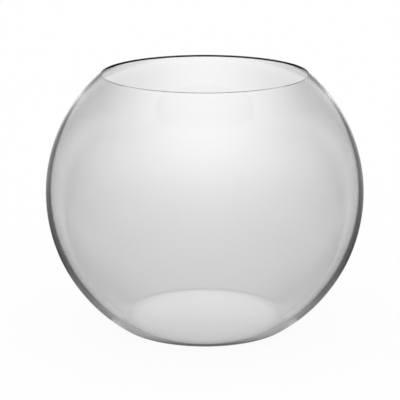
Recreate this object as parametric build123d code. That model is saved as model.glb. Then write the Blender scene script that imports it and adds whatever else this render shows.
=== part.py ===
from build123d import *
import os
from math import sqrt

# Rose bowl vase: one blown piece of clear glass, a ball cut flat at the mouth and flattened at the foot.
# Millimetres. The origin is the middle of the foot, on the surface that the bowl stands on, with +Z up.

# Outside of the bowl, whose height of 161 mm follows from the widths of its ball, mouth and foot
body_diameter = 200.0
mouth_diameter = 129.0
foot_diameter = 101.6
heel_radius = 8.0

# Wall, which thins steadily from the foot to the mouth because the glass sags a little before it sets
waist_wall = 2.7
cavity_rise = 1.0

# Base: the floor inside, and the hollow underneath that leaves only a ring to stand on
base_thickness = 3.2
floor_crown = 1.0
floor_corner_radius = 5.0
underside_hollow = 1.0
standing_ring_width = 4.0

# Rim, cut square to the wall and fire-polished, and the lip below it, where the wall thins faster
rim_thickness = 1.4
rim_bevel = 0.2
lip_height = 14.0


def leg(hypotenuse, other_leg):
    """The third side of a right-angled triangle."""
    return sqrt(hypotenuse**2 - other_leg**2)


def dome_radius(rise, half_width):
    """Radius of a shallow dome that rises this much over this half width."""
    return (half_width**2 + rise**2) / (2 * rise)


def crossing(low_middle, low_radius, high_middle, high_radius):
    """Where two circles centred on the upright axis cross: the distance from the axis, and the height."""
    spread = high_middle - low_middle
    above_low = (low_radius**2 - high_radius**2 + spread**2) / (2 * spread)
    return leg(low_radius, above_low), low_middle + above_low


def on_ball(middle, radius, level):
    """The point of a ball's outline at a level."""
    return Vector(leg(radius, level - middle), level)


def beyond(middle, point, distance):
    """The place this far from a middle on the upright axis, on the line from there through a point."""
    along = (Vector(point) - Vector(0, middle)).normalized()
    return Vector(0, middle) + along * distance


def glass_bowl():
    """The bowl's section through wall, floor and foot, turned about the upright axis."""
    # The outside is a ball. Its heel rolls on to the foot, which sets how high the ball's middle stands.
    ball_radius = body_diameter / 2
    foot_radius = foot_diameter / 2
    heel_middle = Vector(foot_radius, heel_radius)
    ball_middle = heel_radius + leg(ball_radius - heel_radius, foot_radius)
    heel_top = beyond(ball_middle, heel_middle, ball_radius)
    bowl_height = ball_middle + leg(ball_radius, mouth_diameter / 2)

    # The inside is a smaller ball a little higher up.
    cavity_radius = ball_radius - waist_wall
    cavity_middle = ball_middle + cavity_rise
    lip_start = on_ball(cavity_middle, cavity_radius, bowl_height - lip_height)

    # The rim's face is square to the wall, between small bevels. The outer bevel begins at the bowl's top.
    outer_bevel = on_ball(ball_middle, ball_radius, bowl_height)
    into_wall = (Vector(0, ball_middle) - outer_bevel).normalized()
    down_wall = Vector(-into_wall.Y, into_wall.X)
    rim_outer = outer_bevel + (into_wall - down_wall) * rim_bevel
    rim_inner = rim_outer + into_wall * (rim_thickness - 2 * rim_bevel)
    inner_bevel = rim_inner + (into_wall + down_wall) * rim_bevel

    # The floor is a low dome, and a corner arc rolls from it to the cavity's wall.
    floor_top = underside_hollow + base_thickness
    floor_radius = dome_radius(floor_crown, foot_radius)
    floor_middle = floor_top - floor_radius
    corner_middle = crossing(
        floor_middle, floor_radius + floor_corner_radius, cavity_middle, cavity_radius - floor_corner_radius
    )
    floor_end = beyond(floor_middle, corner_middle, floor_radius)
    corner_top = beyond(cavity_middle, corner_middle, cavity_radius)

    with BuildPart() as bowl:
        with BuildSketch(Plane.XZ):
            with BuildLine():
                floor = TangentArc((0, floor_top), floor_end, tangent=(1, 0))
                TangentArc(floor_end, corner_top, tangent=floor % 1)
                inside = ThreePointArc(corner_top, (cavity_radius, cavity_middle), lip_start)
                TangentArc(lip_start, inner_bevel, tangent=inside % 1)
                Polyline(inner_bevel, rim_inner, rim_outer, outer_bevel)
                ThreePointArc(outer_bevel, (ball_radius, ball_middle), heel_top)
                TangentArc((foot_radius, 0), heel_top, tangent=(1, 0))
                Line((foot_radius, 0), (foot_radius - standing_ring_width, 0))
                TangentArc((0, underside_hollow), (foot_radius - standing_ring_width, 0), tangent=(1, 0))
                Line((0, underside_hollow), (0, floor_top))
            make_face()
        revolve(axis=Axis.Z)
    return bowl.part


os.makedirs("parts", exist_ok=True)
export_step(glass_bowl(), "parts/glass_bowl.step")
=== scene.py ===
from math import atan2, cos, hypot, pi, radians, sin, sqrt

import bpy
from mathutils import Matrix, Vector


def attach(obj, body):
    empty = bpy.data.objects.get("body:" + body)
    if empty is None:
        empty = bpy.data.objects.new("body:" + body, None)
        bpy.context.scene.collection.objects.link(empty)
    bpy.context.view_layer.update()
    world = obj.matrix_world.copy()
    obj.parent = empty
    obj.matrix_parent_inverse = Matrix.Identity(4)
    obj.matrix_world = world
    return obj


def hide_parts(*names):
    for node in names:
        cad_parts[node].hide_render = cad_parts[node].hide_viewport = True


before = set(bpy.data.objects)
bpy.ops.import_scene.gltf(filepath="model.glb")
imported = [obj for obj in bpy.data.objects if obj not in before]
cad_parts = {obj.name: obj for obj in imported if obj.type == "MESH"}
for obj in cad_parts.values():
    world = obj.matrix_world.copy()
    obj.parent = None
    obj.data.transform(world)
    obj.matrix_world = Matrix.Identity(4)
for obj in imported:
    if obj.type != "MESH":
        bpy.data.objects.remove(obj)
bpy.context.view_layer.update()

# Bowl: one gather of clear soda-lime glass, blown to a ball, cut at the mouth and flattened underneath to
# stand. It is the CAD solid in finer facets, because light that goes twice through a wall shows every facet.
# The sizes of the bowl and of its waves are in millimetres.
MM = 0.001
BODY_DIAMETER = 200.0
MOUTH_DIAMETER = 129.0
FOOT_DIAMETER = 101.6
HEEL_RADIUS = 8.0
WAIST_WALL = 2.7
CAVITY_RISE = 1.0
BASE_THICKNESS = 3.2
FLOOR_CROWN = 1.0
FLOOR_CORNER_RADIUS = 5.0
UNDERSIDE_HOLLOW = 1.0
STANDING_RING_WIDTH = 4.0
RIM_THICKNESS = 1.4
RIM_BEVEL = 0.2
LIP_HEIGHT = 14.0

# Facets of each stretch of the section, and of one turn round the bowl
FLOOR_STEPS = 12
CORNER_STEPS = 16
INSIDE_STEPS = 120
LIP_STEPS = 16
OUTSIDE_STEPS = 140
HEEL_STEPS = 14
HOLLOW_STEPS = 12
TURN_STEPS = 288
SHARP_ANGLE = radians(20)


def leg(hypotenuse, other_leg):
    """The third side of a right-angled triangle."""
    return sqrt(hypotenuse**2 - other_leg**2)


def round_off(middle, start, end, steps):
    """Points of the arc about a middle from start to end, the short way round, without its start."""
    first = atan2(start[1] - middle[1], start[0] - middle[0])
    turn = (atan2(end[1] - middle[1], end[0] - middle[0]) - first + pi) % (2 * pi) - pi
    radius = hypot(start[0] - middle[0], start[1] - middle[1])
    angles = [first + turn * (i + 1) / steps for i in range(steps)]
    return [(middle[0] + radius * cos(a), middle[1] + radius * sin(a)) for a in angles]


def bowl_outline():
    """The wall's section as (distance from the axis, height) in millimetres, from the floor's middle up the
    inside, over the rim and down the outside to the middle of the underside."""
    ball = BODY_DIAMETER / 2
    foot = FOOT_DIAMETER / 2
    heel_middle = (foot, HEEL_RADIUS)
    ball_middle = (0.0, HEEL_RADIUS + leg(ball - HEEL_RADIUS, foot))
    height = ball_middle[1] + leg(ball, MOUTH_DIAMETER / 2)
    out = ball / (ball - HEEL_RADIUS)
    heel_top = (heel_middle[0] * out, ball_middle[1] + (heel_middle[1] - ball_middle[1]) * out)

    cavity = ball - WAIST_WALL
    cavity_middle = (0.0, ball_middle[1] + CAVITY_RISE)
    lip_start = (leg(cavity, height - LIP_HEIGHT - cavity_middle[1]), height - LIP_HEIGHT)

    # The rim's face is square to the wall, between its two small bevels.
    outer_bevel = (MOUTH_DIAMETER / 2, height)
    into = (-outer_bevel[0] / ball, -(height - ball_middle[1]) / ball)
    down = (-into[1], into[0])
    rim_outer = (
        outer_bevel[0] + (into[0] - down[0]) * RIM_BEVEL,
        outer_bevel[1] + (into[1] - down[1]) * RIM_BEVEL,
    )
    face = RIM_THICKNESS - 2 * RIM_BEVEL
    rim_inner = (rim_outer[0] + into[0] * face, rim_outer[1] + into[1] * face)
    inner_bevel = (
        rim_inner[0] + (into[0] + down[0]) * RIM_BEVEL,
        rim_inner[1] + (into[1] + down[1]) * RIM_BEVEL,
    )

    # The lip's arc leaves the cavity's ball without a corner and ends at the inner bevel.
    inward = (-lip_start[0] / cavity, (cavity_middle[1] - lip_start[1]) / cavity)
    chord = (inner_bevel[0] - lip_start[0], inner_bevel[1] - lip_start[1])
    lip_radius = (chord[0] ** 2 + chord[1] ** 2) / (2 * (chord[0] * inward[0] + chord[1] * inward[1]))
    lip_middle = (lip_start[0] + inward[0] * lip_radius, lip_start[1] + inward[1] * lip_radius)

    # The floor is a low dome, and a corner arc rolls from it to the cavity.
    floor_top = UNDERSIDE_HOLLOW + BASE_THICKNESS
    floor_radius = (foot**2 + FLOOR_CROWN**2) / (2 * FLOOR_CROWN)
    floor_middle = (0.0, floor_top - floor_radius)
    near, far = floor_radius + FLOOR_CORNER_RADIUS, cavity - FLOOR_CORNER_RADIUS
    spread = cavity_middle[1] - floor_middle[1]
    rise = (near**2 - far**2 + spread**2) / (2 * spread)
    corner_middle = (leg(near, rise), floor_middle[1] + rise)
    floor_end = (corner_middle[0] * floor_radius / near, floor_middle[1] + rise * floor_radius / near)
    away = cavity / far
    corner_top = (corner_middle[0] * away, cavity_middle[1] + (corner_middle[1] - cavity_middle[1]) * away)

    hollow_edge = (foot - STANDING_RING_WIDTH, 0.0)
    hollow_radius = (hollow_edge[0] ** 2 + UNDERSIDE_HOLLOW**2) / (2 * UNDERSIDE_HOLLOW)
    hollow_middle = (0.0, UNDERSIDE_HOLLOW - hollow_radius)
    return (
        [(0.0, floor_top)]
        + round_off(floor_middle, (0.0, floor_top), floor_end, FLOOR_STEPS)
        + round_off(corner_middle, floor_end, corner_top, CORNER_STEPS)
        + round_off(cavity_middle, corner_top, lip_start, INSIDE_STEPS)
        + round_off(lip_middle, lip_start, inner_bevel, LIP_STEPS)
        + [rim_inner, rim_outer, outer_bevel]
        + round_off(ball_middle, outer_bevel, heel_top, OUTSIDE_STEPS)
        + round_off(heel_middle, heel_top, (foot, 0.0), HEEL_STEPS)
        + [hollow_edge]
        + round_off(hollow_middle, hollow_edge, (0.0, UNDERSIDE_HOLLOW), HOLLOW_STEPS)[:-1]
        + [(0.0, UNDERSIDE_HOLLOW)]
    )


def spin(name, outline, steps):
    """A closed mesh of an outline, given in millimetres, that is turned about the upright axis."""
    points, rings, faces = [], [], []
    for radius, height in outline:
        count = steps if radius > 0 else 1
        rings.append([len(points) + i for i in range(count)])
        turns = [2 * pi * i / steps for i in range(count)]
        points += [(radius * cos(t) * MM, radius * sin(t) * MM, height * MM) for t in turns]
    for ring, following in zip(rings, rings[1:]):
        for i in range(steps):
            j = i + 1
            left = [ring[i % len(ring)], following[i % len(following)]]
            right = [following[j % len(following)], ring[j % len(ring)]]
            faces.append(list(dict.fromkeys(left + right)))
    mesh = bpy.data.meshes.new(name)
    mesh.from_pydata(points, [], faces)
    mesh.shade_smooth()
    mesh.set_sharp_from_angle(angle=SHARP_ANGLE)
    piece = bpy.data.objects.new(name, mesh)
    bpy.context.scene.collection.objects.link(piece)
    return piece


def linear(code):
    """A colour written as an sRGB hex value, as the linear red, green, blue and alpha that shaders take."""
    parts = [int(code[i : i + 2], 16) / 255 for i in (1, 3, 5)]
    return [p / 12.92 if p <= 0.04045 else ((p + 0.055) / 1.055) ** 2.4 for p in parts] + [1.0]


def add_node(tree, kind, inputs, **settings):
    """Adds a node with its settings. An input is given by name or number, and a socket is linked to it."""
    made = tree.nodes.new(kind)
    for name, value in settings.items():
        setattr(made, name, value)
    for name, value in inputs.items():
        if isinstance(value, bpy.types.NodeSocket):
            tree.links.new(value, made.inputs[name])
        else:
            made.inputs[name].default_value = value
    return made


# Clear soda-lime glass, fire-finished: as smooth as a liquid on both sides, with no tint to be seen in a thin
# wall. Blowing leaves slow waves in it, far shallower than a hair, that keep its dark edge from being ruled.
GLASS_COLOUR = "#fefefe"
GLASS_IOR = 1.5
GLASS_ROUGHNESS = 0.0
WAVE_LENGTH = 30.0
WAVE_HEIGHT = 0.01

glass = bpy.data.materials.new("clear soda-lime glass, fire-finished")
glass.use_nodes = True
tree = glass.node_tree
tree.nodes.clear()
place = add_node(tree, "ShaderNodeTexCoord", {}).outputs["Object"]
waves = add_node(
    tree, "ShaderNodeTexNoise", {"Vector": place, "Scale": 1 / (WAVE_LENGTH * MM), "Detail": 0.0}
)
relief = add_node(
    tree,
    "ShaderNodeBump",
    {"Height": waves.outputs["Fac"], "Distance": WAVE_HEIGHT * MM, "Strength": 1.0},
)
surface = add_node(
    tree,
    "ShaderNodeBsdfPrincipled",
    {
        "Base Color": linear(GLASS_COLOUR),
        "Roughness": GLASS_ROUGHNESS,
        "IOR": GLASS_IOR,
        "Transmission Weight": 1.0,
        "Normal": relief.outputs["Normal"],
    },
)
add_node(tree, "ShaderNodeOutputMaterial", {"Surface": surface.outputs["BSDF"]})

bowl = spin("blown_glass_bowl", bowl_outline(), TURN_STEPS)
bowl.data.materials.append(glass)
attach(bowl, "root")
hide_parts("glass_bowl")

# Floor: a wide sheet of matt white paper. The camera sees it evenly white, with a trace of the bowl's shadow.
# Through the glass it shows painted light and shade, laid as a photographer lays the light, and light that a
# wall of the bowl has turned back finds it painted dim. A level of 1 is white, and the floor's lengths are in
# metres.
PAPER_COLOUR = "#ffffff"
FLOOR_HALF_SIZE = 30.0
FLOOR_DROP = 0.1 * MM
SHADOW_SHARE = 0.06

sheet = bpy.data.meshes.new("paper_floor")
signs = ((-1, -1), (1, -1), (1, 1), (-1, 1))
corners = [(x * FLOOR_HALF_SIZE, y * FLOOR_HALF_SIZE, -FLOOR_DROP) for x, y in signs]
sheet.from_pydata(corners, [], [(0, 1, 2, 3)])
floor = bpy.data.objects.new("paper_floor", sheet)
bpy.context.scene.collection.objects.link(floor)

# The paper's glow through the glass and in reflections is painted light and shade, set by place, not by
# lamps.
paper = bpy.data.materials.new("matt white paper, with painted light and shadow")
paper.use_nodes = True
tree = paper.node_tree
tree.nodes.clear()
path = add_node(tree, "ShaderNodeLightPath", {})
place = add_node(tree, "ShaderNodeNewGeometry", {}).outputs["Position"]
split = add_node(tree, "ShaderNodeSeparateXYZ", {"Vector": place})
reach = add_node(tree, "ShaderNodeVectorMath", {0: place}, operation="LENGTH").outputs["Value"]

# Seen through the glass, the paper has painted light and shade: grey near the bowl, paler in the middle
# distance and greyer far off.
# These are the distances from the bowl's middle between which one level gives way to the next.
NEAR_END = 283 * MM
MIDDLE_START = 518 * MM
FAR_START = 800 * MM
NEAR_LEVEL = 0.69
MIDDLE_LEVEL = 0.77
FAR_LEVEL = 0.63
near = add_node(
    tree,
    "ShaderNodeMapRange",
    {
        "Value": reach,
        "From Min": NEAR_END,
        "From Max": MIDDLE_START,
        "To Min": NEAR_LEVEL,
        "To Max": MIDDLE_LEVEL,
    },
    interpolation_type="SMOOTHSTEP",
)
far = add_node(
    tree,
    "ShaderNodeMapRange",
    {"Value": reach, "From Min": MIDDLE_START, "From Max": FAR_START, "To Max": FAR_LEVEL - MIDDLE_LEVEL},
    interpolation_type="SMOOTHSTEP",
)
base = add_node(tree, "ShaderNodeMath", {0: near.outputs[0], 1: far.outputs[0]}, operation="ADD")

# A painted lane of light runs away from the bowl and fades far off. It is the same every 45 degrees, so that
# one lies behind the bowl from any side. The lanes are folded on to one, with how far to the side a place
# lies.
LANES = 8
LANE_HALF_WIDTH = 152 * MM
LANE_START = 40 * MM
LANE_FULL = 450 * MM
LANE_FADES = 900 * MM
LANE_GONE = 1800 * MM
LANE_LEVEL = 0.29
bearing = add_node(
    tree, "ShaderNodeMath", {0: split.outputs["X"], 1: split.outputs["Y"]}, operation="ARCTAN2"
)
folded = add_node(tree, "ShaderNodeMath", {0: bearing.outputs[0], 1: pi / LANES}, operation="PINGPONG")
sine = add_node(tree, "ShaderNodeMath", {0: folded.outputs[0]}, operation="SINE")
aside = add_node(tree, "ShaderNodeMath", {0: reach, 1: sine.outputs[0]}, operation="MULTIPLY")
lane_side = add_node(
    tree,
    "ShaderNodeMapRange",
    {"Value": aside.outputs[0], "From Min": 0.0, "From Max": LANE_HALF_WIDTH, "To Min": 1.0, "To Max": 0.0},
    interpolation_type="SMOOTHSTEP",
)
lane_start = add_node(
    tree,
    "ShaderNodeMapRange",
    {"Value": reach, "From Min": LANE_START, "From Max": LANE_FULL, "To Max": LANE_LEVEL},
    interpolation_type="SMOOTHSTEP",
)
lane_end = add_node(
    tree,
    "ShaderNodeMapRange",
    {"Value": reach, "From Min": LANE_FADES, "From Max": LANE_GONE, "To Min": 1.0, "To Max": 0.0},
    interpolation_type="SMOOTHSTEP",
)
along = add_node(
    tree, "ShaderNodeMath", {0: lane_start.outputs[0], 1: lane_end.outputs[0]}, operation="MULTIPLY"
)
lane = add_node(
    tree, "ShaderNodeMath", {0: lane_side.outputs[0], 1: along.outputs[0]}, operation="MULTIPLY"
)

# Under the bowl painted light is added, stronger toward the back as if from behind, and fades out across the
# ring that the bowl stands on.
UNDER_EDGE = 42 * MM
FOOT_EDGE = 52 * MM
UNDER_FRONT = -42 * MM
UNDER_BACK = 60 * MM
UNDER_FRONT_LEVEL = 0.11
UNDER_BACK_LEVEL = 0.26
under_bowl = add_node(
    tree,
    "ShaderNodeMapRange",
    {"Value": reach, "From Min": UNDER_EDGE, "From Max": FOOT_EDGE, "To Min": 1.0, "To Max": 0.0},
    interpolation_type="SMOOTHSTEP",
)
from_behind = add_node(
    tree,
    "ShaderNodeMapRange",
    {
        "Value": split.outputs["Y"],
        "From Min": UNDER_FRONT,
        "From Max": UNDER_BACK,
        "To Min": UNDER_FRONT_LEVEL,
        "To Max": UNDER_BACK_LEVEL,
    },
    interpolation_type="SMOOTHSTEP",
)
painted_under_light = add_node(
    tree, "ShaderNodeMath", {0: under_bowl.outputs[0], 1: from_behind.outputs[0]}, operation="MULTIPLY"
)
# The painted lane of light and the painted light under the bowl, added together.
lit = add_node(tree, "ShaderNodeMath", {0: lane.outputs[0], 1: painted_under_light.outputs[0]}, operation="ADD")
through = add_node(tree, "ShaderNodeMath", {0: lit.outputs[0], 1: base.outputs[0]}, operation="ADD")

# Met in a reflection, the paper is painted dim, but for a strip of painted light behind the bowl that stands
# in for the backdrop's light. The strip is rounded at its near end and about as wide as the bowl there. Past
# SPREAD_FROM it widens and its edges soften, each by its share of the way past it, and the softness goes no
# further than SOFT_LIMIT.
STRIP_END = 76 * MM
STRIP_EDGE = 95 * MM
STRIP_SOFT = 25 * MM
SPREAD_FROM = 108 * MM
EDGE_SPREAD = 0.325
SOFT_SPREAD = 0.4
SOFT_LIMIT = 140 * MM
STRIP_LEVEL = 0.93
beyond = add_node(tree, "ShaderNodeMath", {0: split.outputs["Y"], 1: SPREAD_FROM}, operation="SUBTRACT")
past = add_node(tree, "ShaderNodeMath", {0: beyond.outputs[0], 1: 0.0}, operation="MAXIMUM")
edge = add_node(
    tree, "ShaderNodeMath", {0: past.outputs[0], 1: EDGE_SPREAD, 2: STRIP_EDGE}, operation="MULTIPLY_ADD"
)
softer = add_node(
    tree, "ShaderNodeMath", {0: past.outputs[0], 1: SOFT_SPREAD, 2: STRIP_SOFT}, operation="MULTIPLY_ADD"
)
soft = add_node(tree, "ShaderNodeMath", {0: softer.outputs[0], 1: SOFT_LIMIT}, operation="MINIMUM")
inner = add_node(tree, "ShaderNodeMath", {0: edge.outputs[0], 1: soft.outputs[0]}, operation="SUBTRACT")
outer = add_node(tree, "ShaderNodeMath", {0: edge.outputs[0], 1: soft.outputs[0]}, operation="ADD")
before = add_node(tree, "ShaderNodeMath", {0: split.outputs["Y"], 1: STRIP_END}, operation="SUBTRACT")
short_of = add_node(tree, "ShaderNodeMath", {0: before.outputs[0], 1: 0.0}, operation="MINIMUM")
from_strip = add_node(tree, "ShaderNodeCombineXYZ", {"X": split.outputs["X"], "Y": short_of.outputs[0]})
distance = add_node(tree, "ShaderNodeVectorMath", {0: from_strip.outputs["Vector"]}, operation="LENGTH")
strip = add_node(
    tree,
    "ShaderNodeMapRange",
    {
        "Value": distance.outputs["Value"],
        "From Min": inner.outputs[0],
        "From Max": outer.outputs[0],
        "To Min": STRIP_LEVEL,
        "To Max": 0.0,
    },
    interpolation_type="SMOOTHSTEP",
)

# Close in front of the foot the dim paper has painted light, and where the foot touches it a painted black
# shadow. The painted light comes from behind, so the painted shadow lies a little forward. The painted light
# under the bowl counts for more here.
TOUCH_END = 48.8 * MM
CLEAR_START = 53.8 * MM
SHADOW_FORWARD = 3 * MM
RING_INNER = 60 * MM
RING_OUTER = 100 * MM
RING_LEVEL = 0.31
DIM_LEVEL = 0.12
UNDER_SHARE = 3.0
ring = add_node(
    tree,
    "ShaderNodeMapRange",
    {"Value": reach, "From Min": RING_INNER, "From Max": RING_OUTER, "To Min": RING_LEVEL, "To Max": 0.0},
    interpolation_type="SMOOTHSTEP",
)
in_front = add_node(
    tree,
    "ShaderNodeMapRange",
    {
        "Value": split.outputs["Y"],
        "From Min": -RING_INNER,
        "From Max": RING_INNER,
        "To Min": 1.0,
        "To Max": 0.0,
    },
    interpolation_type="SMOOTHSTEP",
)
dim = add_node(
    tree,
    "ShaderNodeMath",
    {0: ring.outputs[0], 1: in_front.outputs[0], 2: DIM_LEVEL},
    operation="MULTIPLY_ADD",
)
shadow_middle = (0.0, -SHADOW_FORWARD, 0.0)
from_shadow = add_node(tree, "ShaderNodeVectorMath", {0: place, 1: shadow_middle}, operation="DISTANCE")
clear_of_foot = add_node(
    tree,
    "ShaderNodeMapRange",
    {"Value": from_shadow.outputs["Value"], "From Min": TOUCH_END, "From Max": CLEAR_START},
    interpolation_type="SMOOTHSTEP",
)
paler = add_node(tree, "ShaderNodeMath", {0: dim.outputs[0], 1: strip.outputs[0]}, operation="ADD")
outside = add_node(
    tree, "ShaderNodeMath", {0: paler.outputs[0], 1: clear_of_foot.outputs[0]}, operation="MULTIPLY"
)
mirrored = add_node(
    tree,
    "ShaderNodeMath",
    {0: painted_under_light.outputs[0], 1: UNDER_SHARE, 2: outside.outputs[0]},
    operation="MULTIPLY_ADD",
)

# Light that a wall has turned back counts its glossy bounces, and any count above this is one or more. The
# camera sees white.
NO_BOUNCE = 0.5
turned_back = add_node(
    tree, "ShaderNodeMath", {0: path.outputs["Glossy Depth"], 1: NO_BOUNCE}, operation="GREATER_THAN"
)
in_glass = add_node(
    tree,
    "ShaderNodeMix",
    {"Factor": turned_back.outputs[0], "A": through.outputs[0], "B": mirrored.outputs[0]},
)
to_camera = path.outputs["Is Camera Ray"]
level = add_node(tree, "ShaderNodeMix", {"Factor": to_camera, "A": in_glass.outputs["Result"], "B": 1.0})
# Through the glass and in reflections the paper glows with these painted light and shade levels, though it is
# no lamp.
glow = add_node(
    tree, "ShaderNodeEmission", {"Color": linear(PAPER_COLOUR), "Strength": level.outputs["Result"]}
)
matt = add_node(tree, "ShaderNodeBsdfDiffuse", {"Color": linear(PAPER_COLOUR)})
share = add_node(tree, "ShaderNodeMath", {0: to_camera, 1: SHADOW_SHARE}, operation="MULTIPLY")
both = add_node(
    tree,
    "ShaderNodeMixShader",
    {"Fac": share.outputs[0], 1: glow.outputs["Emission"], 2: matt.outputs["BSDF"]},
)
add_node(tree, "ShaderNodeOutputMaterial", {"Surface": both.outputs["Shader"]})
sheet.materials.append(paper)

# Room: plain white to the camera and to the floor, and an even grey through the glass. What the glass mirrors
# is a dim studio with a lit backdrop of some 30 degrees to each side behind the bowl, a soft light overhead
# and a faint one in front.
ROOM_COLOUR = "#ffffff"
ROOM_LEVEL = 0.64
BACKDROP_FULL = radians(17)
BACKDROP_EDGE = radians(40)
BACKDROP_LEVEL = 0.68
OVERHEAD_LEVEL = 0.46
FRONT_LEVEL = 0.06

# Where these lights begin and end, as the sine of the angle above level, or to the front and to the back
BACKDROP_LOW = 0.26
BACKDROP_TOP = 0.57
OVERHEAD_START = 0.47
FRONT_FADES = 0.5

world = bpy.data.worlds.new("soft studio")
bpy.context.scene.world = world
world.use_nodes = True
tree = world.node_tree
tree.nodes.clear()
path = add_node(tree, "ShaderNodeLightPath", {})
way = add_node(tree, "ShaderNodeTexCoord", {}).outputs["Generated"]
split = add_node(tree, "ShaderNodeSeparateXYZ", {"Vector": way})
bearing = add_node(
    tree, "ShaderNodeMath", {0: split.outputs["X"], 1: split.outputs["Y"]}, operation="ARCTAN2"
)
off_axis = add_node(tree, "ShaderNodeMath", {0: bearing.outputs[0]}, operation="ABSOLUTE")
behind = add_node(
    tree,
    "ShaderNodeMapRange",
    {
        "Value": off_axis.outputs[0],
        "From Min": BACKDROP_FULL,
        "From Max": BACKDROP_EDGE,
        "To Min": BACKDROP_LEVEL,
        "To Max": 0.0,
    },
    interpolation_type="SMOOTHSTEP",
)
low = add_node(
    tree,
    "ShaderNodeMapRange",
    {
        "Value": split.outputs["Z"],
        "From Min": BACKDROP_LOW,
        "From Max": BACKDROP_TOP,
        "To Min": 1.0,
        "To Max": 0.0,
    },
    interpolation_type="SMOOTHSTEP",
)
overhead = add_node(
    tree,
    "ShaderNodeMapRange",
    {"Value": split.outputs["Z"], "From Min": OVERHEAD_START, "From Max": 1.0, "To Max": OVERHEAD_LEVEL},
    interpolation_type="SMOOTHSTEP",
)
front = add_node(
    tree,
    "ShaderNodeMapRange",
    {
        "Value": split.outputs["Y"],
        "From Min": -FRONT_FADES,
        "From Max": FRONT_FADES,
        "To Min": FRONT_LEVEL,
        "To Max": 0.0,
    },
    interpolation_type="SMOOTHSTEP",
)
backdrop = add_node(
    tree, "ShaderNodeMath", {0: behind.outputs[0], 1: low.outputs[0]}, operation="MULTIPLY"
)
lights = add_node(tree, "ShaderNodeMath", {0: backdrop.outputs[0], 1: overhead.outputs[0]}, operation="ADD")
mirrored = add_node(tree, "ShaderNodeMath", {0: lights.outputs[0], 1: front.outputs[0]}, operation="ADD")
turned_back = add_node(
    tree, "ShaderNodeMath", {0: path.outputs["Glossy Depth"], 1: NO_BOUNCE}, operation="GREATER_THAN"
)
in_glass = add_node(
    tree, "ShaderNodeMix", {"Factor": turned_back.outputs[0], "A": ROOM_LEVEL, "B": mirrored.outputs[0]}
)
direct = add_node(
    tree,
    "ShaderNodeMath",
    {0: path.outputs["Is Camera Ray"], 1: path.outputs["Is Diffuse Ray"]},
    operation="MAXIMUM",
)
level = add_node(
    tree, "ShaderNodeMix", {"Factor": direct.outputs[0], "A": in_glass.outputs["Result"], "B": 1.0}
)
sky = add_node(
    tree, "ShaderNodeBackground", {"Color": linear(ROOM_COLOUR), "Strength": level.outputs["Result"]}
)
add_node(tree, "ShaderNodeOutputWorld", {"Surface": sky.outputs["Background"]})

# Camera: a little above the mouth, about 1.1 m from the bowl, as the curve of the mouth and of the base shows
CAMERA_DISTANCE = 1.1
CAMERA_LOOKS_DOWN = radians(14.35)
PICTURE_SIDE = 400
LENS_IN_PIXELS = 1742.3
BALL_MIDDLE_PIXEL = (204.7, 192.0)
SENSOR = 36.0

ball_level = HEEL_RADIUS + leg(BODY_DIAMETER / 2 - HEEL_RADIUS, FOOT_DIAMETER / 2)
ball_middle = Vector((0.0, 0.0, ball_level * MM))
towards_camera = Vector((0.0, -cos(CAMERA_LOOKS_DOWN), sin(CAMERA_LOOKS_DOWN)))
up_in_picture = Vector((0.0, sin(CAMERA_LOOKS_DOWN), cos(CAMERA_LOOKS_DOWN)))
right_in_picture = Vector((1.0, 0.0, 0.0))
pixel = CAMERA_DISTANCE / LENS_IN_PIXELS
aim = ball_middle - right_in_picture * (BALL_MIDDLE_PIXEL[0] - PICTURE_SIDE / 2) * pixel
aim = aim - up_in_picture * (PICTURE_SIDE / 2 - BALL_MIDDLE_PIXEL[1]) * pixel
lens = bpy.data.cameras.new("camera")
lens.sensor_fit = "HORIZONTAL"
lens.sensor_width = SENSOR
lens.lens = LENS_IN_PIXELS / PICTURE_SIDE * SENSOR
camera = bpy.data.objects.new("camera", lens)
camera.location = ball_middle + towards_camera * CAMERA_DISTANCE
camera.rotation_euler = (aim - camera.location).to_track_quat("-Z", "Y").to_euler()
bpy.context.scene.collection.objects.link(camera)
bpy.context.scene.camera = camera

# Picture: colours as written, and enough turns of the light inside the wall for it to leave again
LIGHT_TURNS = 32

bpy.context.scene.view_settings.view_transform = "Standard"
cycles = bpy.context.scene.cycles
cycles.max_bounces = LIGHT_TURNS
cycles.glossy_bounces = LIGHT_TURNS
cycles.transmission_bounces = LIGHT_TURNS
cycles.use_denoising = True
